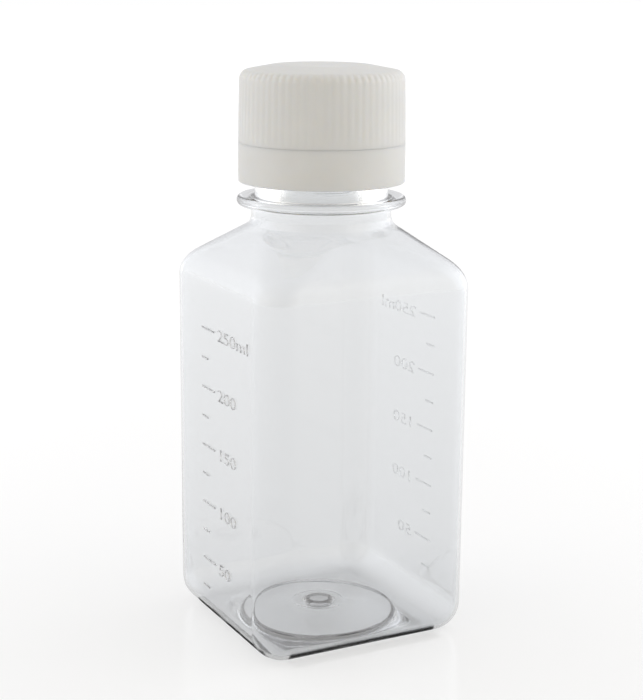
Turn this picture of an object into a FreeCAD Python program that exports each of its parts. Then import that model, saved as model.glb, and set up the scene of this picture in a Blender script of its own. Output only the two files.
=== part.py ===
import FreeCAD, Part
import math
import os
import re

import Sketcher
from FreeCAD import Placement, Rotation, Vector

# Square 250 ml media bottle: a clear blown bottle with a threaded neck and a support
# ring, a ribbed screw cap, the tamper band under it and the sealing disc inside it.
# Millimetres. The bottle stands on Z = 0 and its axis is Z. The scale is on the -Y
# face, and again on +Y, turned half round.

SIZES = {
    # body: a square prism with round corners and a round heel
    "body_side": 59.0,
    "corner_round": 8.45,
    "heel_round": 7.6,
    "wall": 0.7,
    # shoulder: an arc that turns in from the wall, then straight up to the neck, where
    # the corner radius is nearly half the side, so the outline is nearly a circle
    "shoulder_foot": 90.7,
    "shoulder_round": 9.25,
    "shoulder_turn": 46.9,
    "shoulder_neck_half": 17.86,
    "shoulder_lead": 2.5,
    "neck_corner_share": 0.985,
    # base: a round panel pushed up inside a foot ring, with the gate mark in its middle
    "panel_radius": 20.3,
    "panel_step": 1.0,
    "panel_rise": 3.2,
    "boss_radius": 6.4,
    "gate_radius": 3.4,
    "gate_drop": 0.8,
    # neck and support ring; below the ring the wall thins towards the shoulder
    "neck_foot": 103.6,
    "neck_radius": 17.7,
    "neck_flare": 1.4,
    "flare_foot": 104.6,
    "flare_top": 106.9,
    "ring_radius": 21.4,
    "ring_middle": 111.5,
    "ring_thick": 2.3,
    "ring_round": 1.1,
    "waist_radius": 16.5,
    "bore_radius": 15.0,
    "neck_inside": 16.6,
    "taper_foot": 106.5,
    "taper_top": 110.4,
    "lip_top": 141.7,
    "lip_round": 0.6,
    # lock bead over which the tamper band is pressed once
    "bead_radius": 18.3,
    "bead_bottom": 121.7,
    "bead_top": 123.9,
    # screw thread, right-handed, single start
    "thread_root": 17.2,
    "thread_crest": 18.5,
    "thread_pitch": 4.233,
    "thread_turns": 1.5,
    "thread_start": 131.6,
    "thread_foot_half": 1.05,
    "thread_tip_half": 0.5,
    "thread_bury": 0.4,
    # scale marks, raised on the face
    "mark_first": 10.55,
    "mark_step": 7.69,
    "mark_left": 8.1,
    "mark_long": 7.6,
    "mark_short": 3.7,
    "mark_width": 0.5,
    "mark_height": 0.25,
    # cap: its side leans in a little, and its crown slopes up to a flat top
    "cap_radius": 20.95,
    "cap_rim_radius": 20.6,
    "cap_rim": 143.5,
    "cap_flat_radius": 12.0,
    "cap_top": 145.1,
    "cap_under": 142.92,
    "cap_round": 2.5,
    "cap_bottom": 126.0,
    "cap_bore": 18.9,
    "cap_thread_crest": 17.6,
    "cap_thread_start": 129.5,
    "rib_count": 68,
    "rib_cut_radius": 0.62,
    "rib_cut_depth": 0.25,
    "rib_foot": 126.9,
    "retainer_bore": 17.9,
    "retainer_top": 141.5,
    "retainer_bottom": 140.7,
    "retainer_slope": 0.3,
    # tamper band, with its catch ring and the bridges that tear at the first opening;
    # a thin rim round its top stands in front of the bridges
    "band_radius": 20.95,
    "band_bore": 19.45,
    "band_bottom": 116.2,
    "band_top": 125.6,
    "band_rim": 125.94,
    "band_rim_thick": 0.35,
    "catch_bore": 17.2,
    "catch_top": 121.2,
    "catch_root": 118.2,
    "catch_thick": 0.9,
    "bridge_count": 12,
    "bridge_radius": 20.3,
    "bridge_half": 0.4,
    "bridge_gap": 0.02,
    # sealing disc
    "disc_radius": 18.45,
    "disc_gap": 0.02,
    # how far a raised detail starts below the surface that it stands on, and how far a
    # cut runs on past the surface that it opens
    "bury": 0.3,
    "cut_past": 1.0,
}
SHOULDER_ARC_PARTS = 6
MARK_VOLUMES = range(25, 275, 25)
LONG_MARK_EVERY = 50
FULL_TURN = 360
QUARTER_TURN = math.pi / 2

doc = FreeCAD.newDocument("media_bottle")
sheet = doc.addObject("Spreadsheet::Sheet", "Sizes")
for row, (alias, size) in enumerate(SIZES.items(), start=1):
    sheet.set(f"A{row}", alias)
    sheet.set(f"B{row}", str(size))
    sheet.setAlias(f"B{row}", alias)
doc.recompute()


def bound(text):
    """A size such as 'body_side / 2', as an expression on the sheet."""
    return re.sub(r"[a-z_]+", lambda m: f"Sizes.{m[0]}" if m[0] in SIZES else m[0], text)


def number(text):
    """What that size is now, to start a sketch near its solution."""
    result = sheet.evalExpression(bound(text))
    return float(getattr(result, "Value", result))


# ---------------------------------------------------------------- sketches


def origin_feature(body, role):
    return next(f for f in body.Origin.OriginFeatures if f.Role == role)


def new_sketch(body, name, plane, offset="0", lean="0"):
    """A sketch on one of the body's own planes, moved along the plane's normal, with
    that normal leaned back against the sketch's first axis."""
    sketch = body.newObject("Sketcher::SketchObject", name)
    sketch.AttachmentSupport = (origin_feature(body, plane), [""])
    sketch.MapMode = "FlatFace"
    turn = Rotation(Vector(0, -1, 0), number(lean))
    sketch.AttachmentOffset = Placement(Vector(0, 0, number(offset)), turn)
    if offset != "0":
        sketch.setExpression("AttachmentOffset.Base.z", bound(offset))
    if lean != "0":
        sketch.setExpression("AttachmentOffset.Rotation.Angle", bound(lean))
    return sketch


def bind_point(sketch, line, across, up):
    """Holds the start of a line at the sizes across and up from the origin."""
    for axis, kind, text in ((-2, "DistanceX", across), (-1, "DistanceY", up)):
        if text == "0":
            sketch.addConstraint(Sketcher.Constraint("PointOnObject", line, 1, axis))
            continue
        place = sketch.addConstraint(
            Sketcher.Constraint(kind, -1, 1, line, 1, number(text))
        )
        sketch.setExpression(f"Constraints[{place}]", bound(text))


def add_polygon(sketch, corners):
    """A closed outline of straight lines through corners given as pairs of sizes."""
    points = [Vector(number(across), number(up), 0) for across, up in corners]
    lines = [
        sketch.addGeometry(Part.LineSegment(point, points[(i + 1) % len(points)]))
        for i, point in enumerate(points)
    ]
    for i, line in enumerate(lines):
        following = lines[(i + 1) % len(lines)]
        sketch.addConstraint(Sketcher.Constraint("Coincident", line, 2, following, 1))
    for line, (across, up) in zip(lines, corners):
        bind_point(sketch, line, across, up)


def add_round_square(sketch, half, radius):
    """A square with round corners about the origin."""
    a, r = number(half), number(radius)
    flat = a - r
    sides = [(1, 0), (0, 1), (-1, 0), (0, -1)]
    lines, arcs = [], []
    for i, (x, y) in enumerate(sides):
        start = Vector(x * a + y * flat, y * a - x * flat, 0)
        end = Vector(x * a - y * flat, y * a + x * flat, 0)
        lines.append(sketch.addGeometry(Part.LineSegment(start, end)))
        centre = Vector(x * flat - y * flat, y * flat + x * flat, 0)
        circle = Part.Circle(centre, Vector(0, 0, 1), r)
        arc = Part.ArcOfCircle(circle, i * QUARTER_TURN, (i + 1) * QUARTER_TURN)
        arcs.append(sketch.addGeometry(arc))
    for i in range(len(sides)):
        after = (i + 1) % len(sides)
        sketch.addConstraint(Sketcher.Constraint("Tangent", lines[i], 2, arcs[i], 1))
        sketch.addConstraint(Sketcher.Constraint("Tangent", arcs[i], 2, lines[after], 1))
        kind = "Vertical" if i % 2 == 0 else "Horizontal"
        sketch.addConstraint(Sketcher.Constraint(kind, lines[i]))
        if i:
            sketch.addConstraint(Sketcher.Constraint("Equal", arcs[0], arcs[i]))
    for line, kind, sign in zip(lines, ("DistanceX", "DistanceY") * 2, ("", "", "-", "-")):
        text = f"{sign}({half})"
        place = sketch.addConstraint(
            Sketcher.Constraint(kind, -1, 1, line, 1, number(text))
        )
        sketch.setExpression(f"Constraints[{place}]", bound(text))
    place = sketch.addConstraint(Sketcher.Constraint("Radius", arcs[0], r))
    sketch.setExpression(f"Constraints[{place}]", bound(radius))


# ---------------------------------------------------------------- features


def new_feature(body, kind, name, sizes=None, **plain):
    """A PartDesign feature with plain properties set and sizes bound to the sheet."""
    feature = body.newObject(f"PartDesign::{kind}", name)
    for key, setting in plain.items():
        setattr(feature, key, setting)
    for key, text in (sizes or {}).items():
        feature.setExpression(key, bound(text))
    doc.recompute()
    return feature


def turned(body, name, corners, kind="Revolution"):
    """Turns an outline, given as pairs of radius and height, about the bottle's axis."""
    sketch = new_sketch(body, f"{name}_outline", "XZ_Plane")
    add_polygon(sketch, corners)
    axis = (origin_feature(body, "Z_Axis"), [""])
    return new_feature(body, kind, name, Profile=sketch, ReferenceAxis=axis)


def patterned(body, name, feature, count):
    """Repeats a feature round the axis, and makes the pattern the body's tip."""
    axis = (origin_feature(body, "Z_Axis"), [""])
    pattern = new_feature(
        body, "PolarPattern", name, {"Occurrences": count}, Originals=[feature], Axis=axis,
        Angle=FULL_TURN,
    )
    body.Tip = pattern
    doc.recompute()
    return pattern


def rounded(body, name, base, radius, wanted):
    """Fillets the edges of base for which wanted(edge) is true."""
    edges = [f"Edge{i}" for i, edge in enumerate(base.Shape.Edges, start=1) if wanted(edge)]
    return new_feature(body, "Fillet", name, {"Radius": radius}, Base=(base, edges))


def is_circle(edge, radius, height, slack=0.01):
    """True for a full circle of this radius about the axis at this height."""
    box = edge.BoundBox
    level = box.ZLength < slack and abs(box.ZMin - number(height)) < slack
    return level and abs(box.XMax - number(radius)) < slack


def helical_rib(body, name, root, crest, middle, side):
    """A screw thread's rib: a trapezoid swept on a helix. side is -1 for one that
    stands inwards from its root."""
    sketch = new_sketch(body, f"{name}_section", "XZ_Plane")
    buried = f"{root} {'-' if side > 0 else '+'} thread_bury"
    add_polygon(
        sketch,
        [
            (buried, f"{middle} - thread_foot_half"),
            (root, f"{middle} - thread_foot_half"),
            (crest, f"{middle} - thread_tip_half"),
            (crest, f"{middle} + thread_tip_half"),
            (root, f"{middle} + thread_foot_half"),
            (buried, f"{middle} + thread_foot_half"),
        ],
    )
    return new_feature(
        body, "AdditiveHelix", name,
        {"Pitch": "thread_pitch * 1mm", "Turns": "thread_turns"},
        Profile=sketch, ReferenceAxis=(origin_feature(body, "Z_Axis"), [""]),
        Mode="pitch-turns-angle",
    )


# ---------------------------------------------------------------- bottle


def shoulder_sections(inset):
    """Half side, corner radius and height of each section of the shoulder, from the
    straight body to the neck, drawn in by inset."""
    half = f"(body_side / 2 - {inset})"
    end_half = f"(shoulder_neck_half - {inset})"
    start_round = f"(corner_round - {inset})"
    sections = [(half, start_round, "shoulder_foot - shoulder_lead")]
    arc = f"(shoulder_round - {inset})"
    for step in range(SHOULDER_ARC_PARTS + 1):
        turn = f"(shoulder_turn * 1deg * {step} / {SHOULDER_ARC_PARTS})"
        here = f"({half} - {arc} * (1 - cos({turn})))"
        height = f"shoulder_foot + {arc} * sin({turn})"
        sections.append((here, None, height))
    last_half, _, last_height = sections[-1]
    run = f"({last_half} - {end_half})"
    top = f"{last_height} + {run} / tan(shoulder_turn * 1deg)"
    sections.append((end_half, None, top))
    finished = []
    for here, radius, height in sections:
        if radius is None:
            share = f"(({half} - {here}) / ({half} - {end_half}))"
            radius = f"({start_round} + (neck_corner_share * {end_half} - {start_round}) * {share})"
        finished.append((here, radius, height))
    return finished


def bottle_form(body, inset, floor):
    """The square body, its heel and its shoulder, all drawn in by inset."""
    base = new_sketch(body, "plan", "XY_Plane", floor)
    sections = shoulder_sections(inset)
    half, radius, top = sections[0]
    add_round_square(base, half, radius)
    prism = new_feature(
        body, "Pad", "straight_body", {"Length": f"({top} - {floor}) * 1mm"}, Profile=base
    )
    lowest = number(floor)
    rounded(
        body, "heel", prism, f"(heel_round - {inset}) * 1mm",
        lambda edge: abs(edge.BoundBox.ZMax - lowest) < 0.001,
    )
    sketches = []
    for place, (half, radius, height) in enumerate(sections):
        sketch = new_sketch(body, f"shoulder_{place}", "XY_Plane", height)
        add_round_square(sketch, half, radius)
        sketches.append(sketch)
    new_feature(
        body, "AdditiveLoft", "shoulder", Profile=sketches[0], Sections=sketches[1:],
        Ruled=True,
    )


def make_bottle_outside():
    body = doc.addObject("PartDesign::Body", "bottle_outside")
    bottle_form(body, "0", "0")
    turned(
        body, "push_up",
        [
            ("0", "-cut_past"),
            ("panel_radius", "-cut_past"),
            ("panel_radius", "0"),
            ("panel_radius - panel_step / 2", "panel_step"),
            ("boss_radius", "panel_rise"),
            ("gate_radius + gate_drop / 2", "panel_rise"),
            ("gate_radius", "panel_rise - gate_drop"),
            ("0", "panel_rise - gate_drop"),
        ],
        "Groove",
    )
    neck = turned(
        body, "neck",
        [
            ("0", "neck_foot"),
            ("neck_radius + neck_flare", "neck_foot"),
            ("neck_radius + neck_flare", "flare_foot"),
            ("neck_radius", "flare_top"),
            ("neck_radius", "ring_middle - ring_thick / 2"),
            ("ring_radius", "ring_middle - ring_thick / 2"),
            ("ring_radius", "ring_middle + ring_thick / 2"),
            ("waist_radius", "ring_middle + ring_thick / 2"),
            ("waist_radius", "bead_bottom"),
            ("bead_radius", "bead_bottom"),
            ("thread_root", "bead_top"),
            ("thread_root", "lip_top"),
            ("0", "lip_top"),
        ],
    )
    rim = rounded(
        body, "ring_edge", neck, "ring_round * 1mm",
        lambda e: is_circle(e, "ring_radius", "ring_middle - ring_thick / 2")
        or is_circle(e, "ring_radius", "ring_middle + ring_thick / 2"),
    )
    rounded(
        body, "lip_edge", rim, "lip_round * 1mm",
        lambda e: is_circle(e, "thread_root", "lip_top"),
    )
    helical_rib(body, "thread", "thread_root", "thread_crest", "thread_start", 1)
    marks = new_sketch(body, "marks", "XZ_Plane", "body_side / 2 - bury")
    for place, volume in enumerate(MARK_VOLUMES):
        middle = f"mark_first + {place} * mark_step"
        length = "mark_short" if volume % LONG_MARK_EVERY else "mark_long"
        low, high = f"{middle} - mark_width / 2", f"{middle} + mark_width / 2"
        left, right = "-mark_left", f"{length} - mark_left"
        add_polygon(marks, [(left, low), (right, low), (right, high), (left, high)])
    front = new_feature(
        body, "Pad", "front_scale", {"Length": "(bury + mark_height) * 1mm"},
        Profile=marks,
    )
    patterned(body, "both_scales", front, "2")
    return body


def make_bottle_inside():
    """The space that the blown wall leaves, with the bore up through the neck."""
    body = doc.addObject("PartDesign::Body", "bottle_inside")
    bottle_form(body, "wall", "wall")
    turned(
        body, "floor",
        [
            ("0", "0"),
            ("panel_radius + wall", "0"),
            ("panel_radius + wall", "wall"),
            ("panel_radius - panel_step / 2 + wall / 2", "panel_step + wall"),
            ("boss_radius", "panel_rise + wall"),
            ("0", "panel_rise + wall"),
        ],
        "Groove",
    )
    turned(
        body, "bore",
        [
            ("0", "shoulder_foot"),
            ("neck_inside", "shoulder_foot"),
            ("neck_inside", "taper_foot"),
            ("bore_radius", "taper_top"),
            ("bore_radius", "lip_top + cut_past"),
            ("0", "lip_top + cut_past"),
        ],
    )
    return body


def make_bottle():
    bottle = doc.addObject("Part::Cut", "bottle")
    bottle.Base = make_bottle_outside()
    bottle.Tool = make_bottle_inside()
    doc.recompute()
    return bottle


# ---------------------------------------------------------------- closure


def make_cap():
    body = doc.addObject("PartDesign::Body", "cap")
    shell = turned(
        body, "shell",
        [
            ("0", "cap_top"),
            ("0", "cap_under"),
            ("cap_bore", "cap_under"),
            ("cap_bore", "retainer_top"),
            ("retainer_bore", "retainer_top - retainer_slope"),
            ("retainer_bore", "retainer_bottom + retainer_slope"),
            ("cap_bore", "retainer_bottom"),
            ("cap_bore", "cap_bottom"),
            ("cap_radius", "cap_bottom"),
            ("cap_rim_radius", "cap_rim"),
            ("cap_flat_radius", "cap_top"),
        ],
    )
    rounded(
        body, "top_edge", shell, "cap_round * 1mm",
        lambda e: is_circle(e, "cap_rim_radius", "cap_rim"),
    )
    middle = "(cap_radius + rib_cut_radius - rib_cut_depth)"
    lean = "atan((cap_radius - cap_rim_radius) / (cap_rim - cap_bottom))"
    foot = f"rib_foot - {middle} * sin({lean})"
    cutter = new_sketch(body, "rib_gap", "XY_Plane", foot, lean)
    circle = Part.Circle(Vector(number(middle), 0, 0), Vector(0, 0, 1), number("rib_cut_radius"))
    ring = cutter.addGeometry(circle)
    cutter.addConstraint(Sketcher.Constraint("PointOnObject", ring, 3, -1))
    place = cutter.addConstraint(
        Sketcher.Constraint("DistanceX", -1, 1, ring, 3, number(middle))
    )
    cutter.setExpression(f"Constraints[{place}]", bound(middle))
    place = cutter.addConstraint(Sketcher.Constraint("Radius", ring, number("rib_cut_radius")))
    cutter.setExpression(f"Constraints[{place}]", bound("rib_cut_radius"))
    gap = new_feature(
        body, "Pocket", "rib_groove", {"Length": "(cap_top - rib_foot + cut_past) * 1mm"},
        Profile=cutter, Reversed=True,
    )
    patterned(body, "ribs", gap, "rib_count")
    helical_rib(body, "thread", "cap_bore", "cap_thread_crest", "cap_thread_start", -1)
    return body


def make_tamper_band():
    body = doc.addObject("PartDesign::Body", "tamper_band")
    turned(
        body, "ring",
        [
            ("band_bore", "band_top"),
            ("band_bore", "catch_root + catch_thick"),
            ("catch_bore", "catch_top"),
            ("catch_bore", "catch_top - catch_thick"),
            ("band_bore", "catch_root"),
            ("band_bore", "band_bottom"),
            ("band_radius", "band_bottom"),
            ("band_radius", "band_rim"),
            ("band_radius - band_rim_thick", "band_rim"),
            ("band_radius - band_rim_thick", "band_top"),
        ],
    )
    sketch = new_sketch(body, "bridge_plan", "XY_Plane", "band_top - bury")
    add_polygon(
        sketch,
        [
            ("bridge_radius - bridge_half", "-bridge_half"),
            ("bridge_radius + bridge_half", "-bridge_half"),
            ("bridge_radius + bridge_half", "bridge_half"),
            ("bridge_radius - bridge_half", "bridge_half"),
        ],
    )
    bridge = new_feature(
        body, "Pad", "bridge",
        {"Length": "(cap_bottom - bridge_gap - band_top + bury) * 1mm"}, Profile=sketch,
    )
    patterned(body, "bridges", bridge, "bridge_count")
    return body


def make_seal_liner():
    body = doc.addObject("PartDesign::Body", "seal_liner")
    turned(
        body, "disc",
        [
            ("0", "lip_top + disc_gap"),
            ("disc_radius", "lip_top + disc_gap"),
            ("disc_radius", "cap_under - disc_gap"),
            ("0", "cap_under - disc_gap"),
        ],
    )
    return body


# ---------------------------------------------------------------- check and write


def write_parts(parts):
    """Stops on anything that failed to build, then writes one STEP file a part."""
    doc.recompute()
    broken = [o.Name for o in doc.Objects if {"Invalid", "Error"} & set(o.State)]
    if broken:
        raise SystemExit(f"these objects did not build: {broken}")
    os.makedirs("parts", exist_ok=True)
    for part in parts:
        if part.Shape.isNull() or not part.Shape.isValid():
            raise SystemExit(f"{part.Label} is not a valid shape")
        solids = len(part.Shape.Solids)
        box = part.Shape.BoundBox
        print(
            f"{part.Label}: {solids} solid, {part.Shape.Volume:.1f} mm3, "
            f"x {box.XMin:.2f} to {box.XMax:.2f}, z {box.ZMin:.2f} to {box.ZMax:.2f}"
        )
        part.Shape.exportStep(f"parts/{part.Label}.step")


write_parts([make_bottle(), make_cap(), make_tamper_band(), make_seal_liner()])
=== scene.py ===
"""Looks for the square media bottle: clear bottle, ribbed white cap, tamper band and sealing disc.

Sizes are in millimetres until they reach a mesh, which is in metres in the CAD frame.
The bottle's axis is Z and the scale is on its -Y and +Y faces.
"""

import math

import bmesh
import bpy
from mathutils import Matrix, Vector


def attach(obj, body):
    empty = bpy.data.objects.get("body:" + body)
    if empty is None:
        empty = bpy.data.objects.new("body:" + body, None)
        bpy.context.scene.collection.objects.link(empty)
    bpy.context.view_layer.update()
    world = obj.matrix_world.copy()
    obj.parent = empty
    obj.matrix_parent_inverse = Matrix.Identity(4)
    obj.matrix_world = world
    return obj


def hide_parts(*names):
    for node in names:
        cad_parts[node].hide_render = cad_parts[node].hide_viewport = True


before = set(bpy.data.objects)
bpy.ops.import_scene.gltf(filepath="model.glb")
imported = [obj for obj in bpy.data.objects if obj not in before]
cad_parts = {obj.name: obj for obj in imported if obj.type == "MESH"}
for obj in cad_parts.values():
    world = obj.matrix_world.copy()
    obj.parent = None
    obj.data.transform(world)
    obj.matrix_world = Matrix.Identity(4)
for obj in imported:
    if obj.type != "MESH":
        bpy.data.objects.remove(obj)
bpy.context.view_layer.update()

MM = 0.001
TURN = 2 * math.pi

# ---------------------------------------------------------------- sizes, in millimetres

BODY_HALF, CORNER, HEEL, WALL = 29.5, 8.45, 7.6, 0.7
LEAST_CORNER = 0.4
SHOULDER_FOOT, SHOULDER_ROUND, SHOULDER_TURN = 90.7, 9.25, math.radians(46.9)
SHOULDER_NECK_HALF, NECK_SHARE = 17.86, 0.985
PANEL_RADIUS, PANEL_STEP, PANEL_RISE = 20.3, 1.0, 3.2
BOSS_RADIUS, GATE_RADIUS, GATE_DROP, GATE_DOME = 6.4, 3.4, 0.8, 0.5
NECK_RADIUS, WAIST_RADIUS, BORE_RADIUS = 17.7, 16.5, 15.0
NECK_INSIDE, TAPER_FOOT, TAPER_TOP = 16.85, 108.2, 112.6
BLEND_FOOT, BLEND_TOP, BLEND_STEPS, NECK_BLEND = 101.0, 108.2, 44, 2.4
RING_RADIUS, RING_MIDDLE, RING_THICK = 21.4, 111.5, 2.3
BEAD_RADIUS, BEAD_BOTTOM, BEAD_TOP = 18.3, 121.7, 123.9
THREAD_ROOT, THREAD_CREST, THREAD_PITCH, THREAD_TURNS = 17.2, 18.5, 4.233, 1.5
THREAD_START, THREAD_FOOT, THREAD_TIP = 131.6, 1.05, 0.5
THREAD_FADE, THREAD_SPARE = 0.35, 1.5  # radians at each end, millimetres above and below
LIP_TOP, LIP_ROUND = 141.7, 0.6

MARK_FIRST, MARK_STEP, MARK_LEFT = 10.55, 7.69, 8.1
MARK_LONG, MARK_SHORT, MARK_WIDTH, MARK_HEIGHT = 7.6, 3.7, 0.5, 0.25
MARK_FOOT, MARK_UNDER, MARK_EDGE = 0.01, 0.03, 0.07
FIGURE_LEFT, FIGURE_SIZE, FIGURE_STRETCH, FIGURE_THIN = 1.3, 4.4, 1.7, 0.1
FIGURE_DROP, FIGURE_OUT, FIGURE_THICK, FIGURE_EDGE = 0.5, 0.12, 0.06, 0.04

CAP_RADIUS, CAP_RIM_RADIUS, CAP_FLAT_RADIUS = 20.95, 20.6, 12.0
CAP_BOTTOM, CAP_RIM, CAP_TOP, CAP_ROUND, CAP_UNDER = 126.0, 143.5, 145.1, 2.5, 142.92
CAP_BORE, CAP_THREAD_CREST, CAP_THREAD_START = 18.9, 17.6, 129.5
RIB_COUNT, RIB_DEPTH, RIB_FOOT, RIM_DEEPER = 68, 0.072, 126.9, 2.0
RETAINER_BORE, RETAINER_TOP, RETAINER_BOTTOM = 17.9, 141.5, 140.7

BAND_RADIUS, BAND_BORE, BAND_BOTTOM, BAND_TOP = 20.95, 19.45, 116.2, 125.6
BAND_RIM, BAND_RIM_THICK = 125.98, 0.35
CATCH_BORE, CATCH_TOP, CATCH_ROOT, CATCH_THICK = 17.2, 121.2, 118.2, 0.9
BRIDGE_COUNT, BRIDGE_RADIUS, BRIDGE_HALF = 12, 20.3, 0.4

DISC_RADIUS, DISC_GAP = 18.45, 0.02


# ---------------------------------------------------------------- mesh tools


def finish_mesh(name, vertices, faces):
    """An object from points in millimetres, smooth, with its faces turned outwards."""
    mesh = bpy.data.meshes.new(name)
    mesh.from_pydata([(x * MM, y * MM, z * MM) for x, y, z in vertices], [], faces)
    work = bmesh.new()
    work.from_mesh(mesh)
    bmesh.ops.remove_doubles(work, verts=work.verts, dist=1e-7)
    if work.calc_volume(signed=True) < 0:
        bmesh.ops.reverse_faces(work, faces=work.faces)
    work.to_mesh(mesh)
    work.free()
    mesh.polygons.foreach_set("use_smooth", [True] * len(mesh.polygons))
    thing = bpy.data.objects.new(name, mesh)
    bpy.context.collection.objects.link(thing)
    return thing


def softened(corners, steps=5):
    """A profile through corners (across, up, round), with each corner made an arc."""
    path = []
    last = len(corners) - 1
    for i, (across, up, radius) in enumerate(corners):
        here = Vector((across, up))
        if not radius or i in (0, last):
            path.append(here)
            continue
        back = (Vector(corners[i - 1][:2]) - here).normalized()
        ahead = (Vector(corners[i + 1][:2]) - here).normalized()
        half_turn = (math.pi - back.angle(ahead)) / 2
        reach = radius * math.tan(half_turn)
        centre = here + (back + ahead).normalized() * (radius / math.cos(half_turn))
        start = here + back * reach - centre
        end = here + ahead * reach - centre
        sign = 1 if start.x * end.y > start.y * end.x else -1
        for step in range(steps + 1):
            turn = sign * 2 * half_turn * step / steps
            c, s = math.cos(turn), math.sin(turn)
            arm = Vector((start.x * c - start.y * s, start.x * s + start.y * c))
            path.append(centre + arm)
    return path


def divided(path, longest):
    """The same path with no step longer than longest."""
    finer = [path[0]]
    for here in path[1:]:
        before = finer[-1]
        parts = max(1, math.ceil((here - before).length / longest))
        finer.extend(before.lerp(here, k / parts) for k in range(1, parts + 1))
    return finer


def skin(name, rings, closed):
    """A surface over rings of equal count. closed joins the last ring to the first;
    otherwise the first and last rings are points on the axis."""
    count = len(rings[0])
    vertices = [point for ring in rings for point in ring]
    faces = []
    levels = len(rings) if closed else len(rings) - 1
    for level in range(levels):
        low = level * count
        high = ((level + 1) % len(rings)) * count
        for i in range(count):
            j = (i + 1) % count
            faces.append((low + i, low + j, high + j, high + i))
    return finish_mesh(name, vertices, faces)


def round_ring(radius, height, angles):
    return [(radius * math.cos(a), radius * math.sin(a), height) for a in angles]


def helix_height(angle, start, pitch, turns, height):
    """How far height is above the nearest pass of a helix at this angle, and the share
    of its full depth there, which fades over the helix's two ends."""
    best, depth = 99.0, 0.0
    for lap in range(math.ceil(turns) + 1):
        along = angle / TURN + lap
        if along > turns:
            continue
        away = height - (start + pitch * along)
        if abs(away) < abs(best):
            end = min(along, turns - along) * TURN
            best, depth = away, min(1.0, end / THREAD_FADE)
    return best, depth


def thread_profile(away, foot, tip):
    """Share of a thread's depth at a distance from its middle, 1 on the crest."""
    share = (foot - abs(away)) / (foot - tip)
    share = min(1.0, max(0.0, share))
    return share * share * (3 - 2 * share)


# ---------------------------------------------------------------- bottle


def bottle_angles():
    """Directions round the bottle, close together at its four corners."""
    flat, bend = 40, 48
    half_flat = math.atan((BODY_HALF - CORNER) / BODY_HALF)
    angles = []
    for side in range(4):
        middle = side * TURN / 4
        for i in range(flat):
            angles.append(middle + half_flat * (2 * i / flat - 1))
        gap = TURN / 4 - 2 * half_flat
        for i in range(bend):
            angles.append(middle + half_flat + gap * i / bend)
    return angles


ANGLES = bottle_angles()


def reach_of(angle, half, corner):
    """Distance from the axis to a square outline with round corners, in a direction."""
    folded = abs((angle + math.pi / 4) % (math.pi / 2) - math.pi / 4)
    inner = half - corner
    if half * math.tan(folded) <= inner or corner <= 0:
        return half / math.cos(folded)
    b = inner * (math.cos(folded) + math.sin(folded))
    return b + math.sqrt(max(0.0, b * b - 2 * inner * inner + corner * corner))


def square_ring(half, corner, height):
    ring = []
    for a in ANGLES:
        reach = reach_of(a, half, corner)
        ring.append((reach * math.cos(a), reach * math.sin(a), height))
    return ring


def shoulder_corner(half, inset):
    """Corner radius on the shoulder, which grows until the outline is a circle."""
    start, end = CORNER - inset, NECK_SHARE * (SHOULDER_NECK_HALF - inset)
    share = (BODY_HALF - inset - half) / (BODY_HALF - SHOULDER_NECK_HALF)
    return start + (end - start) * share


def shoulder_slope(inset):
    """Half side and height where the shoulder's arc ends and its straight slope starts."""
    arc = SHOULDER_ROUND - inset
    half = BODY_HALF - inset - arc * (1 - math.cos(SHOULDER_TURN))
    return half, SHOULDER_FOOT + arc * math.sin(SHOULDER_TURN)


def slope_outline(inset, height):
    """Half side and corner radius of the straight slope, or of its run on, at a height."""
    half, foot = shoulder_slope(inset)
    half -= (height - foot) * math.tan(SHOULDER_TURN)
    return half, min(half, shoulder_corner(half, inset))


def body_rings(inset, steps=12):
    """Rings from the foot of the heel up the shoulder to where the neck's blend starts."""
    rings = []
    heel = HEEL - inset
    for step in range(steps + 1):
        turn = math.pi / 2 * step / steps
        drawn = heel * (1 - math.sin(turn))
        corner = max(CORNER - inset - drawn, LEAST_CORNER)
        rings.append(square_ring(BODY_HALF - inset - drawn, corner, HEEL - heel * math.cos(turn)))
    straight = 16
    for step in range(1, straight + 1):
        height = HEEL + (SHOULDER_FOOT - HEEL) * step / straight
        rings.append(square_ring(BODY_HALF - inset, CORNER - inset, height))
    arc = SHOULDER_ROUND - inset
    for step in range(1, steps + 1):
        turn = SHOULDER_TURN * step / steps
        half = BODY_HALF - inset - arc * (1 - math.cos(turn))
        height = SHOULDER_FOOT + arc * math.sin(turn)
        rings.append(square_ring(half, shoulder_corner(half, inset), height))
    slope = 6
    foot = shoulder_slope(inset)[1]
    for step in range(1, slope):
        height = foot + (BLEND_FOOT - foot) * step / slope
        rings.append(square_ring(*slope_outline(inset, height), height))
    return rings


def blend_rings(inset, radius, blend):
    """Rings where the shoulder's slope runs smoothly into the round neck."""
    rings = []
    for step in range(BLEND_STEPS + 1):
        height = BLEND_FOOT + (BLEND_TOP - BLEND_FOOT) * step / BLEND_STEPS
        half, corner = slope_outline(inset, height)
        ring = []
        for a in ANGLES:
            slope = reach_of(a, half, corner)
            share = max(0.0, 1 - abs(slope - radius) / blend)
            reach = max(slope, radius) + blend * share * share / 4
            ring.append((reach * math.cos(a), reach * math.sin(a), height))
        rings.append(ring)
    return rings


def neck_ring(radius, height):
    """A ring of the neck's outside, with the thread's ridge on it."""
    ring = []
    for a in ANGLES:
        away, depth = helix_height(a % TURN, THREAD_START, THREAD_PITCH, THREAD_TURNS, height)
        rise = (THREAD_CREST - THREAD_ROOT) * depth
        reach = radius + rise * thread_profile(away, THREAD_FOOT, THREAD_TIP)
        ring.append((reach * math.cos(a), reach * math.sin(a), height))
    return ring


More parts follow.
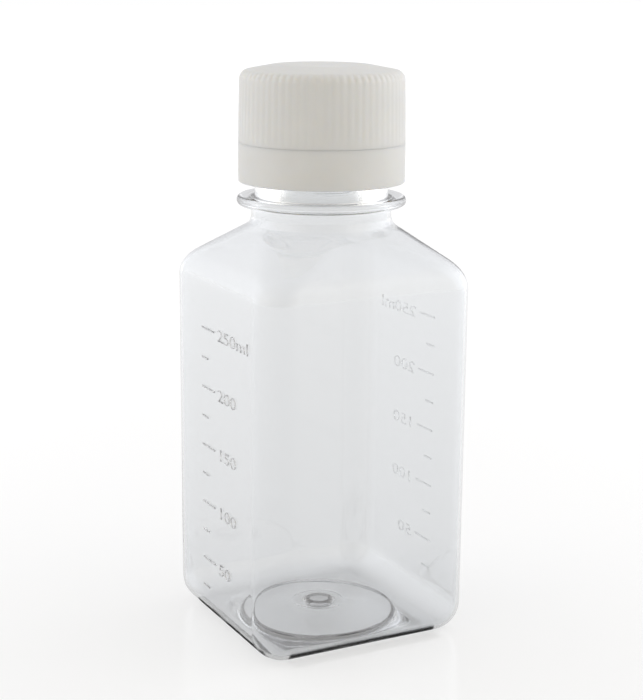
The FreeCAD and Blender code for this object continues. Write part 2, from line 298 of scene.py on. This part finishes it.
def make_bottle():
    panel = softened(
        [
            (0.0, PANEL_RISE - GATE_DROP, 0),
            (GATE_RADIUS, PANEL_RISE - GATE_DROP, 0.3),
            (GATE_RADIUS + GATE_DROP / 2, PANEL_RISE, 0.3),
            (BOSS_RADIUS, PANEL_RISE, 0.6),
            (PANEL_RADIUS - PANEL_STEP / 2, PANEL_STEP, 0.35),
            (PANEL_RADIUS, 0.0, 0.25),
            (PANEL_RADIUS + 0.6, 0.0, 0),
        ]
    )
    rings = [round_ring(p.x, p.y, ANGLES) for p in divided(panel, 2.5)]
    rings += body_rings(0.0) + blend_rings(0.0, NECK_RADIUS, NECK_BLEND)
    low, high = RING_MIDDLE - RING_THICK / 2, RING_MIDDLE + RING_THICK / 2
    round_edge = RING_THICK / 2 - 0.05
    neck = softened(
        [
            (NECK_RADIUS, BLEND_TOP + 0.2, 0),
            (NECK_RADIUS, low, 0.4),
            (RING_RADIUS, low, round_edge),
            (RING_RADIUS, high, round_edge),
            (WAIST_RADIUS, high, 0.5),
            (WAIST_RADIUS, BEAD_BOTTOM, 0.3),
            (BEAD_RADIUS, BEAD_BOTTOM, 0.3),
            (THREAD_ROOT, BEAD_TOP, 0.5),
            (THREAD_ROOT, THREAD_START - THREAD_SPARE, 0),
        ],
        6,
    )
    rings += [round_ring(p.x, p.y, ANGLES) for p in divided(neck, 2.0)]
    bottom = THREAD_START - THREAD_SPARE
    top = THREAD_START + THREAD_PITCH * THREAD_TURNS + THREAD_SPARE
    levels = 64
    for level in range(1, levels + 1):
        rings.append(neck_ring(THREAD_ROOT, bottom + (top - bottom) * level / levels))
    lip = softened(
        [
            (THREAD_ROOT, top + 0.2, 0),
            (THREAD_ROOT, LIP_TOP, LIP_ROUND),
            (BORE_RADIUS, LIP_TOP, LIP_ROUND),
            (BORE_RADIUS, TAPER_TOP, 4.0),
            (NECK_INSIDE, TAPER_FOOT, 3.0),
            (NECK_INSIDE, BLEND_TOP + 0.2, 0),
        ],
        12,
    )
    rings += [round_ring(p.x, p.y, ANGLES) for p in divided(lip, 3.0)]
    rings += reversed(body_rings(WALL) + blend_rings(WALL, NECK_INSIDE, NECK_BLEND))
    floor = softened(
        [
            (PANEL_RADIUS + 0.3, WALL, 0),
            (PANEL_RADIUS - 0.2, PANEL_STEP + WALL, 0.8),
            (BOSS_RADIUS, PANEL_RISE + WALL, 2.0),
            (GATE_RADIUS + 0.9, PANEL_RISE + WALL, 0.5),
            (GATE_RADIUS - 0.4, PANEL_RISE + WALL + GATE_DOME, 1.2),
            (0.0, PANEL_RISE + WALL + GATE_DOME, 0),
        ]
    )
    rings += [round_ring(p.x, p.y, ANGLES) for p in divided(floor, 2.5)]
    return skin("bottle_shell", rings, closed=False)


# ---------------------------------------------------------------- scale


def make_scale():
    """Raised bars and figures on both faces, one piece."""
    pieces = []
    for place in range(10):
        volume = 25 * (place + 1)
        middle = MARK_FIRST + place * MARK_STEP
        length = MARK_LONG if volume % 50 == 0 else MARK_SHORT
        pieces.append(mark_bar(f"bar_{volume}", -MARK_LEFT, length, middle))
        if volume % 50 == 0:
            words = f"{volume}ml" if volume == 250 else str(volume)
            pieces.append(mark_figures(f"figures_{volume}", words, middle - FIGURE_DROP))
    front = joined("scale_marks", pieces)
    back = front.copy()
    back.data = front.data.copy()
    bpy.context.collection.objects.link(back)
    back.data.transform(Matrix.Rotation(math.pi, 4, "Z"))
    back.name = "scale_marks_back"
    front.name = "scale_marks_front"
    return front, back


def face_place(mesh):
    """Turns a flat mesh in X and Y, millimetres, on to the -Y face."""
    upright = Matrix.Rotation(math.pi / 2, 4, "X")
    mesh.transform(Matrix.Translation((0, -BODY_HALF * MM, 0)) @ upright)


def mark_bar(name, left, length, middle):
    low, high = middle - MARK_WIDTH / 2, middle + MARK_WIDTH / 2
    corners = [(left, low), (left + length, low), (left + length, high), (left, high)]
    mesh = bpy.data.meshes.new(name)
    work = bmesh.new()
    base = [work.verts.new((x * MM, z * MM, MARK_FOOT * MM)) for x, z in corners]
    face = work.faces.new(base)
    raised = bmesh.ops.extrude_face_region(work, geom=[face])
    for vertex in (g for g in raised["geom"] if isinstance(g, bmesh.types.BMVert)):
        vertex.co.z = (MARK_HEIGHT - MARK_UNDER) * MM
    bmesh.ops.recalc_face_normals(work, faces=work.faces)
    bmesh.ops.bevel(
        work,
        geom=list(work.edges),
        offset=MARK_EDGE * MM,
        segments=3,
        profile=0.5,
        affect="EDGES",
    )
    work.to_mesh(mesh)
    work.free()
    face_place(mesh)
    thing = bpy.data.objects.new(name, mesh)
    bpy.context.collection.objects.link(thing)
    return thing


def mark_figures(name, words, middle):
    curve = bpy.data.curves.new(name, "FONT")
    curve.body = words
    curve.size = FIGURE_SIZE * MM
    curve.offset = -FIGURE_THIN * MM
    curve.align_x = "LEFT"
    curve.align_y = "CENTER"
    curve.extrude = FIGURE_THICK * MM
    curve.bevel_depth = FIGURE_EDGE * MM
    curve.bevel_resolution = 2
    text = bpy.data.objects.new(name, curve)
    text.location = (FIGURE_LEFT * MM, middle * MM, FIGURE_OUT * MM)
    text.scale.x = FIGURE_STRETCH
    bpy.context.collection.objects.link(text)
    bpy.context.view_layer.update()
    graph = bpy.context.evaluated_depsgraph_get()
    mesh = bpy.data.meshes.new_from_object(text.evaluated_get(graph))
    mesh.transform(text.matrix_world)
    bpy.data.objects.remove(text)
    face_place(mesh)
    thing = bpy.data.objects.new(name, mesh)
    bpy.context.collection.objects.link(thing)
    return thing


def joined(name, pieces):
    work = bmesh.new()
    for piece in pieces:
        work.from_mesh(piece.data)
    bmesh.ops.remove_doubles(work, verts=work.verts, dist=1e-7)
    mesh = bpy.data.meshes.new(name)
    work.to_mesh(mesh)
    work.free()
    for piece in pieces:
        bpy.data.objects.remove(piece)
    thing = bpy.data.objects.new(name, mesh)
    bpy.context.collection.objects.link(thing)
    return thing


# ---------------------------------------------------------------- closure

RIB_POINTS = 10
CAP_ANGLES = [TURN * i / (RIB_COUNT * RIB_POINTS) for i in range(RIB_COUNT * RIB_POINTS)]


def rib_cut(angle):
    """Depth of the gap between ribs in a direction: round ribs with narrow gaps."""
    wave = 0.5 + 0.5 * math.cos(angle * RIB_COUNT)
    return RIB_DEPTH * wave**1.6


def fade(value, start, end):
    share = min(1.0, max(0.0, (value - start) / (end - start)))
    return share * share * (3 - 2 * share)


def cap_outer_ring(radius, height):
    ring = []
    share = (height - CAP_BOTTOM) / (CAP_RIM - CAP_BOTTOM)
    side = CAP_RADIUS + (CAP_RIM_RADIUS - CAP_RADIUS) * share
    depth = fade(height, RIB_FOOT - 0.25, RIB_FOOT + 0.35)
    depth *= 1 + RIM_DEEPER * fade(height, CAP_RIM - 2.2, CAP_RIM - 0.6)
    depth *= 1 - fade(height, CAP_RIM - 0.2, CAP_RIM + 0.6)
    for a in CAP_ANGLES:
        reach = min(radius, side) - rib_cut(a) * depth
        ring.append((reach * math.cos(a), reach * math.sin(a), height))
    return ring


def cap_inner_ring(radius, height):
    ring = []
    for a in CAP_ANGLES:
        away, depth = helix_height(a, CAP_THREAD_START, THREAD_PITCH, THREAD_TURNS, height)
        rise = (CAP_BORE - CAP_THREAD_CREST) * depth
        reach = radius - rise * thread_profile(away, THREAD_FOOT, THREAD_TIP)
        ring.append((reach * math.cos(a), reach * math.sin(a), height))
    return ring


def make_cap():
    outer = softened(
        [
            (CAP_BORE, CAP_BOTTOM, 0),
            (CAP_RADIUS, CAP_BOTTOM, 0.02),
            (CAP_RIM_RADIUS, CAP_RIM, CAP_ROUND),
            (CAP_FLAT_RADIUS, CAP_TOP, 6.0),
            (0.0, CAP_TOP, 0),
        ],
        14,
    )
    rings = []
    for p in divided(outer, 1.6):
        rings.append(cap_outer_ring(p.x, p.y))
    top = softened(
        [(0.0, CAP_UNDER, 0), (CAP_BORE, CAP_UNDER, 0.3), (CAP_BORE, RETAINER_TOP, 0)], 3
    )
    rings += [round_ring(p.x, p.y, CAP_ANGLES) for p in divided(top, 3.0)]
    bead = softened(
        [
            (CAP_BORE, RETAINER_TOP, 0),
            (RETAINER_BORE, RETAINER_TOP - 0.3, 0.2),
            (RETAINER_BORE, RETAINER_BOTTOM + 0.3, 0.2),
            (CAP_BORE, RETAINER_BOTTOM, 0),
        ],
        3,
    )
    rings += [round_ring(p.x, p.y, CAP_ANGLES) for p in bead]
    start = RETAINER_BOTTOM - 0.3
    levels = 60
    for level in range(levels + 1):
        height = start + (CAP_BOTTOM + 0.2 - start) * level / levels
        rings.append(cap_inner_ring(CAP_BORE, height))
    return skin("cap_shell", rings, closed=True)


def make_band():
    section = softened(
        [
            (BAND_BORE, BAND_TOP - 0.5, 0),
            (BAND_BORE, BAND_TOP, 0.1),
            (BAND_RADIUS - BAND_RIM_THICK, BAND_TOP, 0.05),
            (BAND_RADIUS - BAND_RIM_THICK, BAND_RIM, 0.05),
            (BAND_RADIUS, BAND_RIM, 0.02),
            (BAND_RADIUS, BAND_BOTTOM, 0.25),
            (BAND_BORE, BAND_BOTTOM, 0.15),
            (BAND_BORE, CATCH_ROOT, 0.2),
            (CATCH_BORE, CATCH_TOP - CATCH_THICK, 0.15),
            (CATCH_BORE, CATCH_TOP, 0.15),
            (BAND_BORE, CATCH_ROOT + CATCH_THICK, 0.2),
            (BAND_BORE, BAND_TOP - 0.6, 0),
        ],
        5,
    )
    angles = [TURN * i / 360 for i in range(360)]
    rings = [round_ring(p.x, p.y, angles) for p in divided(section, 1.2)]
    ring = skin("tamper_ring", rings, closed=True)
    posts = []
    for i in range(BRIDGE_COUNT):
        posts.append(bridge(f"bridge_{i}", TURN * i / BRIDGE_COUNT))
    return joined("tamper_band_shell", [ring] + posts)


def bridge(name, angle):
    """A short tapered post from the band's top edge to the cap."""
    sides = 12
    rings = []
    foot, head = BAND_TOP - 0.05, CAP_BOTTOM - 0.02
    middle = Vector((BRIDGE_RADIUS * math.cos(angle), BRIDGE_RADIUS * math.sin(angle), 0))
    for radius, height in ((0, foot), (BRIDGE_HALF, foot), (BRIDGE_HALF * 0.7, head), (0, head)):
        ring = []
        for i in range(sides):
            a = TURN * i / sides
            ring.append((middle.x + radius * math.cos(a), middle.y + radius * math.sin(a), height))
        rings.append(ring)
    return skin(name, rings, closed=False)


def make_disc():
    low, high = LIP_TOP + DISC_GAP, CAP_UNDER - DISC_GAP
    profile = softened(
        [(0.0, low, 0), (DISC_RADIUS, low, 0.25), (DISC_RADIUS, high, 0.25), (0.0, high, 0)], 4
    )
    angles = [TURN * i / 180 for i in range(180)]
    rings = [round_ring(p.x, p.y, angles) for p in divided(profile, 2.0)]
    return skin("sealing_disc", rings, closed=False)


# ---------------------------------------------------------------- materials

# the plastic's tint, and the dark colour of the painted shade on the base
CLEAR_COLOUR, PAINTED_SHADE_COLOUR = (0.955, 0.965, 0.975, 1), (0.16, 0.15, 0.15, 1)
# how much painted shade the base gets at distances from the axis: dark lines at the gate mark and
# the panel's edge
BASE_PAINTED_SHADE = [
    (0.0, 0.25),
    (2.4, 0.25),
    (2.8, 0.95),
    (3.4, 0.95),
    (4.6, 0.1),
    (6.6, 0.0),
    (19.3, 0.0),
    (19.5, 0.95),
    (20.2, 0.95),
    (20.4, 0.0),
]
BASE_REACH, BASE_HIGH, BASE_END = 25.0, 5.0, 5.5

WHITE_DARK, WHITE_LIGHT = (0.81, 0.812, 0.803, 1), (0.855, 0.857, 0.852, 1)
# the glow on the inside of the white walls, and where that inside ends
INNER_GLOW, INNER_COLOUR = 0.3, (1.0, 0.97, 0.9, 1)
INSIDE, INSIDE_END, UNDER, UNDER_END = 19.3, 19.9, 141.5, 142.5


def new_material(name):
    material = bpy.data.materials.new(name)
    material.use_nodes = True
    tree = material.node_tree
    shader = tree.nodes["Principled BSDF"]
    return material, tree, shader


def set_inputs(node, **values):
    for name, setting in values.items():
        node.inputs[name.replace("_", " ")].default_value = setting


def noise(tree, scale, detail, stretch=(1, 1, 1)):
    """Noise in the object's own space, in metres."""
    coords = tree.nodes.new("ShaderNodeTexCoord")
    mapping = tree.nodes.new("ShaderNodeMapping")
    mapping.inputs["Scale"].default_value = stretch
    texture = tree.nodes.new("ShaderNodeTexNoise")
    texture.inputs["Scale"].default_value = scale
    texture.inputs["Detail"].default_value = detail
    tree.links.new(coords.outputs["Object"], mapping.inputs["Vector"])
    tree.links.new(mapping.outputs["Vector"], texture.inputs["Vector"])
    return texture


def ranged(tree, source, low, high, from_low=0.3, from_high=0.7):
    node = tree.nodes.new("ShaderNodeMapRange")
    node.inputs["From Min"].default_value = from_low
    node.inputs["From Max"].default_value = from_high
    node.inputs["To Min"].default_value = low
    node.inputs["To Max"].default_value = high
    tree.links.new(source, node.inputs["Value"])
    return node.outputs["Result"]


def bumped(tree, shader, source, strength, distance):
    bump = tree.nodes.new("ShaderNodeBump")
    bump.inputs["Strength"].default_value = strength
    bump.inputs["Distance"].default_value = distance
    tree.links.new(source, bump.inputs["Height"])
    tree.links.new(bump.outputs["Normal"], shader.inputs["Normal"])


def axis_distance(tree):
    """Distance from the bottle's axis, in metres."""
    coords = tree.nodes.new("ShaderNodeTexCoord")
    flat = tree.nodes.new("ShaderNodeVectorMath")
    flat.operation = "MULTIPLY"
    flat.inputs[1].default_value = (1, 1, 0)
    tree.links.new(coords.outputs["Object"], flat.inputs[0])
    reach = tree.nodes.new("ShaderNodeVectorMath")
    reach.operation = "LENGTH"
    tree.links.new(flat.outputs["Vector"], reach.inputs[0])
    return reach.outputs["Value"]


def above_foot(tree):
    """Height above the bottle's foot, in metres."""
    coords = tree.nodes.new("ShaderNodeTexCoord")
    parts = tree.nodes.new("ShaderNodeSeparateXYZ")
    tree.links.new(coords.outputs["Object"], parts.inputs["Vector"])
    return parts.outputs["Z"]


def product(tree, first, second):
    node = tree.nodes.new("ShaderNodeMath")
    node.operation = "MULTIPLY"
    tree.links.new(first, node.inputs[0])
    tree.links.new(second, node.inputs[1])
    return node.outputs["Value"]


def base_lines(tree):
    """Where the base gets painted shade for its dark refraction lines: the gate mark and the line
    of the panel's edge.
    """
    share = ranged(tree, axis_distance(tree), 0, 1, 0, BASE_REACH * MM)
    ramp = tree.nodes.new("ShaderNodeValToRGB")
    elements = ramp.color_ramp.elements
    while len(elements) < len(BASE_PAINTED_SHADE):
        elements.new(0.5)
    for element, (place, level) in zip(elements, BASE_PAINTED_SHADE):
        element.position = place / BASE_REACH
        element.color = (level, level, level, 1)
    tree.links.new(share, ramp.inputs["Fac"])
    low = ranged(tree, above_foot(tree), 1, 0, BASE_HIGH * MM, BASE_END * MM)
    return product(tree, ramp.outputs["Color"], low)


def clear_plastic():
    material, tree, shader = new_material("clear_pet")
    set_inputs(shader, IOR=1.57)
    shader.inputs["Transmission Weight"].default_value = 1.0
    # the base colour is darkened at the gate mark and the panel's edge: painted shade for the dark
    # lines that the clear base shows there
    tint_and_painted_shade = tree.nodes.new("ShaderNodeMix")
    tint_and_painted_shade.data_type = "RGBA"
    tint_and_painted_shade.inputs["A"].default_value = CLEAR_COLOUR
    tint_and_painted_shade.inputs["B"].default_value = PAINTED_SHADE_COLOUR
    tree.links.new(base_lines(tree), tint_and_painted_shade.inputs["Factor"])
    tree.links.new(tint_and_painted_shade.outputs["Result"], shader.inputs["Base Color"])
    fine = noise(tree, 900, 3)
    tree.links.new(ranged(tree, fine.outputs["Fac"], 0.0, 0.035), shader.inputs["Roughness"])
    waves = noise(tree, 45, 1.5, stretch=(1, 1, 0.35))
    bumped(tree, shader, waves.outputs["Fac"], 0.25, 0.0006)
    return material


def mark_plastic(name, clear):
    """The plastic of the raised scale, a little frosted, with a brightness set per copy that
    paints shade or light on it.
    """
    material, tree, shader = new_material(name)
    set_inputs(shader, Base_Color=(clear, clear, clear, 1), IOR=1.5)
    shader.inputs["Transmission Weight"].default_value = 0.95
    grain = noise(tree, 1500, 2)
    tree.links.new(ranged(tree, grain.outputs["Fac"], 0.12, 0.3), shader.inputs["Roughness"])
    return material


def white_plastic():
    material, tree, shader = new_material("white_hdpe")
    set_inputs(shader, IOR=1.54)
    cloud = noise(tree, 60, 4)
    ramp = tree.nodes.new("ShaderNodeValToRGB")
    ramp.color_ramp.elements[0].position = 0.3
    ramp.color_ramp.elements[0].color = WHITE_DARK
    ramp.color_ramp.elements[1].position = 0.7
    ramp.color_ramp.elements[1].color = WHITE_LIGHT
    tree.links.new(cloud.outputs["Fac"], ramp.inputs["Fac"])
    tree.links.new(ramp.outputs["Color"], shader.inputs["Base Color"])
    shader.inputs["Subsurface Weight"].default_value = 0.5
    shader.inputs["Subsurface Radius"].default_value = (1.0, 0.9, 0.75)
    shader.inputs["Subsurface Scale"].default_value = 0.0014
    # stands for the light that a thin wall lets through to its inside
    shader.inputs["Emission Color"].default_value = INNER_COLOUR
    inside = ranged(tree, axis_distance(tree), INNER_GLOW, 0, INSIDE * MM, INSIDE_END * MM)
    under = ranged(tree, above_foot(tree), 1, 0, UNDER * MM, UNDER_END * MM)
    tree.links.new(product(tree, inside, under), shader.inputs["Emission Strength"])
    fine = noise(tree, 1400, 3)
    tree.links.new(ranged(tree, fine.outputs["Fac"], 0.34, 0.5), shader.inputs["Roughness"])
    bumped(tree, shader, fine.outputs["Fac"], 0.12, 0.0001)
    return material


def foam():
    material, tree, shader = new_material("foam_disc")
    cells = tree.nodes.new("ShaderNodeTexVoronoi")
    cells.inputs["Scale"].default_value = 2500
    coords = tree.nodes.new("ShaderNodeTexCoord")
    tree.links.new(coords.outputs["Object"], cells.inputs["Vector"])
    ramp = tree.nodes.new("ShaderNodeValToRGB")
    ramp.color_ramp.elements[0].color = (0.88, 0.88, 0.86, 1)
    ramp.color_ramp.elements[1].color = (0.8, 0.8, 0.78, 1)
    tree.links.new(cells.outputs["Distance"], ramp.inputs["Fac"])
    tree.links.new(ramp.outputs["Color"], shader.inputs["Base Color"])
    rough = ranged(tree, cells.outputs["Distance"], 0.5, 0.7, 0, 1)
    tree.links.new(rough, shader.inputs["Roughness"])
    bumped(tree, shader, cells.outputs["Distance"], 0.2, 0.0001)
    return material


# ---------------------------------------------------------------- object


def stand_in(piece, body, node, material):
    """Gives a piece its body and its material, and hides the CAD node that it stands for, if any.
    """
    piece.data.materials.clear()
    piece.data.materials.append(material)
    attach(piece, body)
    if node:
        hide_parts(node)


def make_object():
    white = white_plastic()
    stand_in(make_bottle(), "bottle", "bottle", clear_plastic())
    front, back = make_scale()
    # one plastic in two copies: the front marks painted darker and the back marks painted lighter,
    # as painted shade and painted light
    stand_in(front, "bottle", None, mark_plastic("raised_marks_painted_darker", 0.84))
    stand_in(back, "bottle", None, mark_plastic("raised_marks_painted_lighter", 0.95))
    stand_in(make_cap(), "closure", "cap", white)
    stand_in(make_band(), "band", "tamper_band", white)
    stand_in(make_disc(), "disc", "seal_liner", foam())


# ---------------------------------------------------------------- camera, floor and light

CAMERA_DISTANCE, CAMERA_HEIGHT = 402.3, 168.7
CAMERA_AZIMUTH = math.radians(62.48)
CAMERA_AIM = math.radians(62.43)
CAMERA_PITCH = math.radians(13.47)
CAMERA_ROLL = math.radians(0.47)
CAMERA_LENS, SENSOR = 82.46, 36.0


def make_camera():
    data = bpy.data.cameras.new("camera")
    data.lens, data.sensor_width = CAMERA_LENS, SENSOR
    data.clip_start, data.clip_end = 0.01, 50
    camera = bpy.data.objects.new("camera", data)
    bpy.context.collection.objects.link(camera)
    level_right = Vector((math.cos(CAMERA_AIM), math.sin(CAMERA_AIM), 0))
    level_ahead = Vector((-math.sin(CAMERA_AIM), math.cos(CAMERA_AIM), 0))
    down = Vector((0, 0, -1))
    ahead = level_ahead * math.cos(CAMERA_PITCH) + down * math.sin(CAMERA_PITCH)
    upright = level_ahead * math.sin(CAMERA_PITCH) - down * math.cos(CAMERA_PITCH)
    right = level_right * math.cos(CAMERA_ROLL) + upright * math.sin(CAMERA_ROLL)
    up = upright * math.cos(CAMERA_ROLL) - level_right * math.sin(CAMERA_ROLL)
    camera.matrix_world = Matrix.Translation(
        (
            math.sin(CAMERA_AZIMUTH) * CAMERA_DISTANCE * MM,
            -math.cos(CAMERA_AZIMUTH) * CAMERA_DISTANCE * MM,
            CAMERA_HEIGHT * MM,
        )
    ) @ Matrix((right, up, -ahead)).transposed().to_4x4()
    bpy.context.scene.camera = camera


# colour of the studio: from behind the camera (0) to behind the object (1), from
# straight down (0) to straight up (1), and from left (0) to right (1)
STUDIO_DEPTH = [
    (0.0, (0.40, 0.36, 0.28)),
    (0.35, (0.74, 0.71, 0.66)),
    (0.6, (0.96, 0.96, 0.97)),
    (1.0, (0.74, 0.74, 0.755)),
]
STUDIO_HEIGHT = [(0.0, (0.9, 0.9, 0.9)), (0.75, (1.0, 1.0, 1.0)), (1.0, (0.65, 0.65, 0.65))]
STUDIO_SIDE = [(0.0, (1.65, 1.67, 1.69)), (0.5, (0.9, 0.9, 0.9)), (1.0, (1.9, 1.92, 1.94))]

# the floor glows a little, more where the camera sees it directly
FLOOR_GLOW, FLOOR_GLOW_SEEN, FLOOR_GREY, FLOOR_GAP = 0.37, 0.57, 0.42, 0.1
# dark blinds under the heel, painted shade for the contact shadow there: where they start and end,
# their number and half length
SHADE_INNER, SHADE_OUTER, SHADE_STEPS, SHADE_HALF = 24.4, 28.4, 18, 21.0
SHADE_LOW, SHADE_HEIGHT, SHADE_LEAN = 0.02, 0.24, 0.26
SHADE_COLOUR = (0.02, 0.02, 0.022, 1)


def make_floor():
    size = 6.0
    mesh = bpy.data.meshes.new("floor")
    low = -FLOOR_GAP * MM
    corners = [(-size, -size, low), (size, -size, low), (size, size, low), (-size, size, low)]
    mesh.from_pydata(corners, [], [(0, 1, 2, 3)])
    floor = bpy.data.objects.new("floor", mesh)
    bpy.context.collection.objects.link(floor)
    material, tree, shader = new_material("floor_white")
    set_inputs(shader, Base_Color=(FLOOR_GREY, FLOOR_GREY, FLOOR_GREY, 1), Roughness=0.16)
    shader.inputs["Emission Color"].default_value = (1, 1, 1, 1)
    seen = tree.nodes.new("ShaderNodeLightPath")
    glow = ranged(tree, seen.outputs["Is Camera Ray"], FLOOR_GLOW, FLOOR_GLOW_SEEN, 0, 1)
    tree.links.new(glow, shader.inputs["Emission Strength"])
    mesh.materials.append(material)


def one_sided(name, sheets):
    """Dark stage sheets of painted shade that show from their front only, and only through clear
    plastic.
    """
    mesh = bpy.data.meshes.new(name)
    corners = [corner for sheet in sheets for corner in sheet]
    faces = [tuple(range(4 * i, 4 * i + 4)) for i in range(len(sheets))]
    mesh.from_pydata([(x * MM, y * MM, z * MM) for x, y, z in corners], [], faces)
    thing = bpy.data.objects.new(name, mesh)
    bpy.context.collection.objects.link(thing)
    material, tree, shader = new_material(name)
    set_inputs(shader, Base_Color=SHADE_COLOUR, Roughness=0.9)
    side = tree.nodes.new("ShaderNodeNewGeometry")
    tree.links.new(ranged(tree, side.outputs["Backfacing"], 1, 0, 0, 1), shader.inputs["Alpha"])
    mesh.materials.append(material)
    thing.visible_camera = False
    thing.visible_diffuse = False
    thing.visible_shadow = False


def make_contact_shade():
    """The darkness close under the heel, as slanting blinds that face outwards."""
    blinds = []
    low, high = SHADE_LOW, SHADE_LOW + SHADE_HEIGHT
    for step in range(SHADE_STEPS):
        reach = SHADE_INNER + (SHADE_OUTER - SHADE_INNER) * step / (SHADE_STEPS - 1)
        for side in range(4):
            c, s = math.cos(side * TURN / 4), math.sin(side * TURN / 4)
            head = reach - SHADE_LEAN
            places = [
                (reach, -SHADE_HALF, low),
                (reach, SHADE_HALF, low),
                (head, SHADE_HALF, high),
                (head, -SHADE_HALF, high),
            ]
            blinds.append([(x * c - y * s, x * s + y * c, z) for x, y, z in places])
    one_sided("contact_shade", blinds)


def make_world():
    """Soft light from all round, weaker from behind the camera. The camera itself sees
    plain white past the object, and everything else sees a pale grey studio."""
    world = bpy.data.worlds.new("studio")
    bpy.context.scene.world = world
    world.use_nodes = True
    tree = world.node_tree
    background = tree.nodes["Background"]
    coords = tree.nodes.new("ShaderNodeTexCoord")

    def along(direction):
        dot = tree.nodes.new("ShaderNodeVectorMath")
        dot.operation = "DOT_PRODUCT"
        dot.inputs[1].default_value = direction
        tree.links.new(coords.outputs["Generated"], dot.inputs[0])
        return dot.outputs["Value"]

    def stepped(value, stops):
        ramp = tree.nodes.new("ShaderNodeValToRGB")
        ramp.color_ramp.interpolation = "EASE"
        spread = tree.nodes.new("ShaderNodeMapRange")
        spread.inputs["From Min"].default_value = -1
        tree.links.new(value, spread.inputs["Value"])
        tree.links.new(spread.outputs["Result"], ramp.inputs["Fac"])
        elements = ramp.color_ramp.elements
        while len(elements) < len(stops):
            elements.new(0.5)
        for element, (place, colour) in zip(elements, stops):
            element.position = place
            element.color = (*colour, 1)
        return ramp.outputs["Color"]

    def times(one, other):
        node = tree.nodes.new("ShaderNodeMix")
        node.data_type, node.blend_type = "RGBA", "MULTIPLY"
        node.inputs["Factor"].default_value = 1
        tree.links.new(one, node.inputs["A"])
        tree.links.new(other, node.inputs["B"])
        return node.outputs["Result"]

    forward = Vector((-math.sin(CAMERA_AIM), math.cos(CAMERA_AIM), 0))
    right = Vector((math.cos(CAMERA_AIM), math.sin(CAMERA_AIM), 0))
    studio = times(stepped(along(forward), STUDIO_DEPTH), stepped(along((0, 0, 1)), STUDIO_HEIGHT))
    studio = times(studio, stepped(along(right), STUDIO_SIDE))
    seen = tree.nodes.new("ShaderNodeLightPath")
    choice = tree.nodes.new("ShaderNodeMix")
    choice.data_type = "RGBA"
    choice.inputs["B"].default_value = (1, 1, 1, 1)
    tree.links.new(seen.outputs["Is Camera Ray"], choice.inputs["Factor"])
    tree.links.new(studio, choice.inputs["A"])
    tree.links.new(choice.outputs["Result"], background.inputs["Color"])
    background.inputs["Strength"].default_value = 1.0


make_object()
make_camera()
make_floor()
make_contact_shade()
make_world()
bpy.context.scene.view_settings.view_transform = "Standard"
# light crosses many clear walls in the neck and the heel
BOUNCES = 48
for kind in ("max_bounces", "glossy_bounces", "transmission_bounces"):
    setattr(bpy.context.scene.cycles, kind, BOUNCES)
